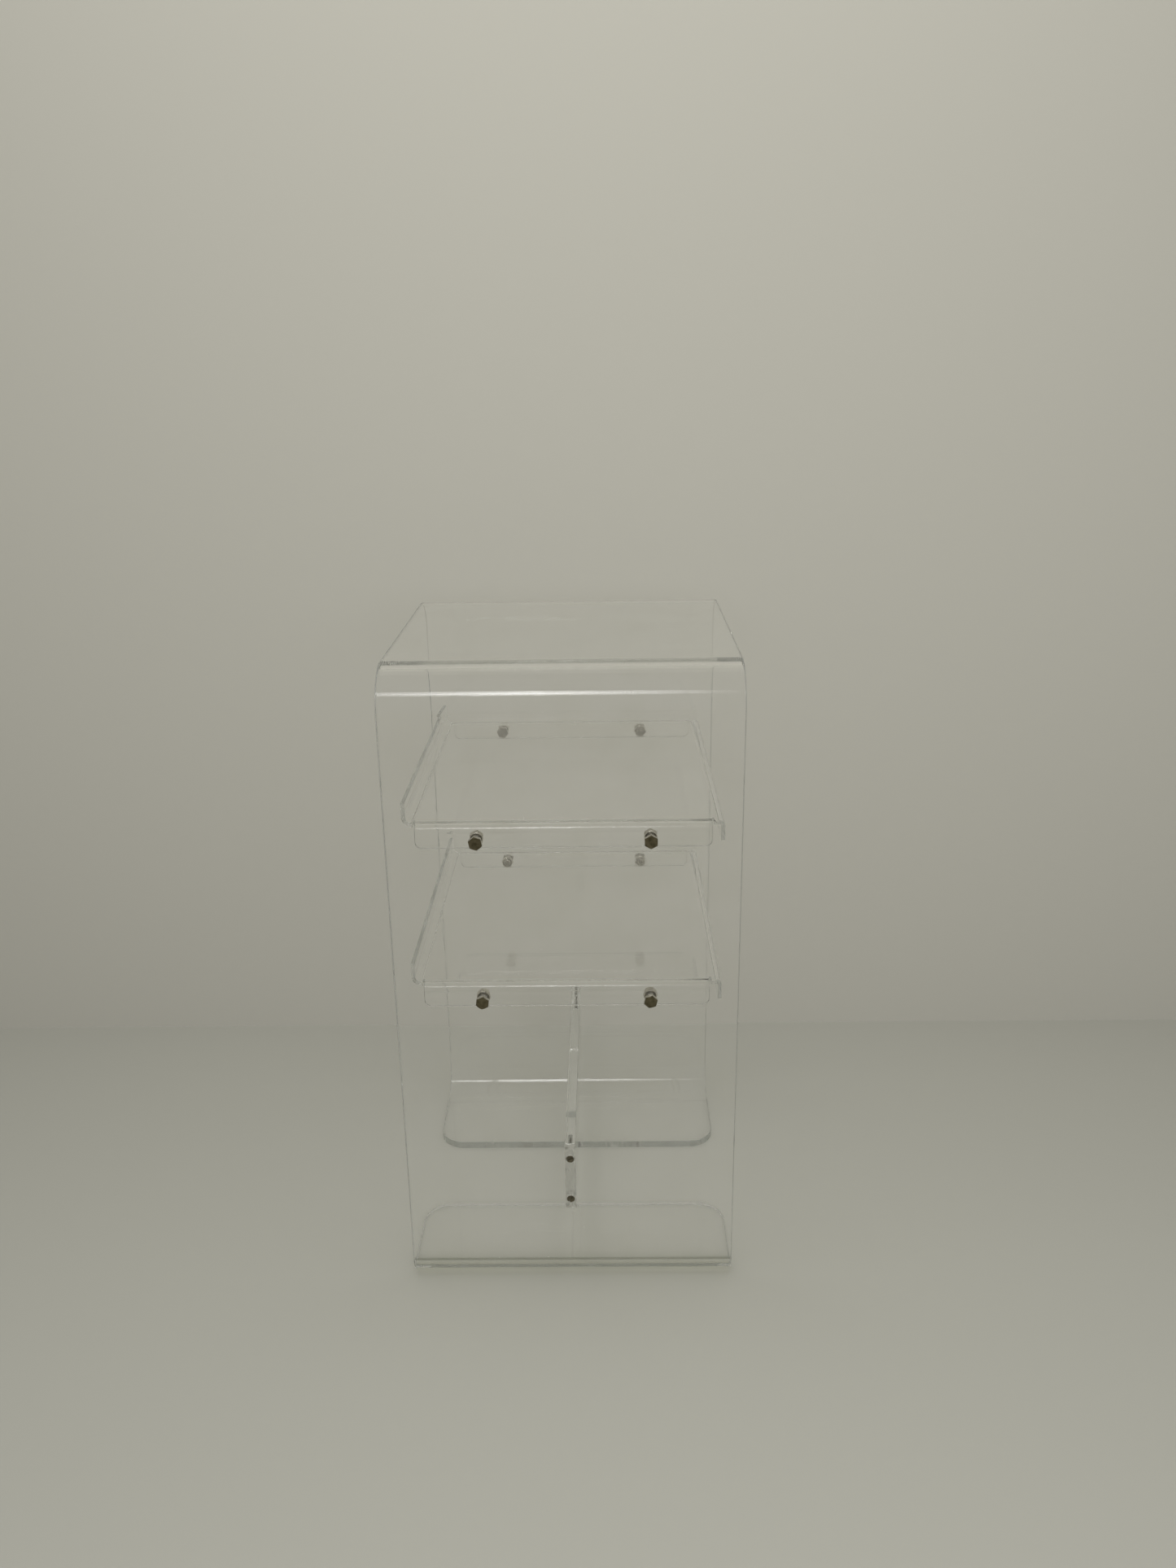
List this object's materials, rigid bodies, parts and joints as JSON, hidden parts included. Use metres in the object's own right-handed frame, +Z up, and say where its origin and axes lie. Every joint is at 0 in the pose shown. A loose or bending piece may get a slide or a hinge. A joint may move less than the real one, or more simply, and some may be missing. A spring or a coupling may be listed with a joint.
{
  "type": "magazine rack",
  "caption": "Free-standing clear acrylic magazine rack: a bent sheet shell with turned-in feet, bolted bent shelves with side lips, and a screwed stretcher bar.",
  "frame": {"origin": "on the floor, under the middle of the rack", "axes": "+X to the right of someone facing the front panel, +Y from the front panel to the back panel, +Z up"},
  "size_m": [0.36, 0.4053, 0.707],
  "materials": {
    "clear_acrylic": "clear cast acrylic sheet, polished",
    "zinc_plated_steel": "zinc plated, dulled",
    "plain_steel": "plain turned steel, darkened"
  },
  "bodies": {
    "root": {"shell": "clear_acrylic", "upper_shelf": "clear_acrylic", "lower_shelf": "clear_acrylic", "stretcher": "clear_acrylic", "upper_front_left_bolt": "zinc_plated_steel", "upper_front_left_nut": "zinc_plated_steel", "upper_front_right_bolt": "zinc_plated_steel", "upper_front_right_nut": "zinc_plated_steel", "upper_back_left_bolt": "zinc_plated_steel", "upper_back_left_nut": "zinc_plated_steel", "upper_back_right_bolt": "zinc_plated_steel", "upper_back_right_nut": "zinc_plated_steel", "lower_front_left_bolt": "zinc_plated_steel", "lower_front_left_nut": "zinc_plated_steel", "lower_front_right_bolt": "zinc_plated_steel", "lower_front_right_nut": "zinc_plated_steel", "lower_back_left_bolt": "zinc_plated_steel", "lower_back_left_nut": "zinc_plated_steel", "lower_back_right_bolt": "zinc_plated_steel", "lower_back_right_nut": "zinc_plated_steel", "stretcher_front_upper_screw": "plain_steel", "stretcher_front_lower_screw": "plain_steel", "stretcher_back_upper_screw": "plain_steel", "stretcher_back_lower_screw": "plain_steel"}
  },
  "joints": []
}
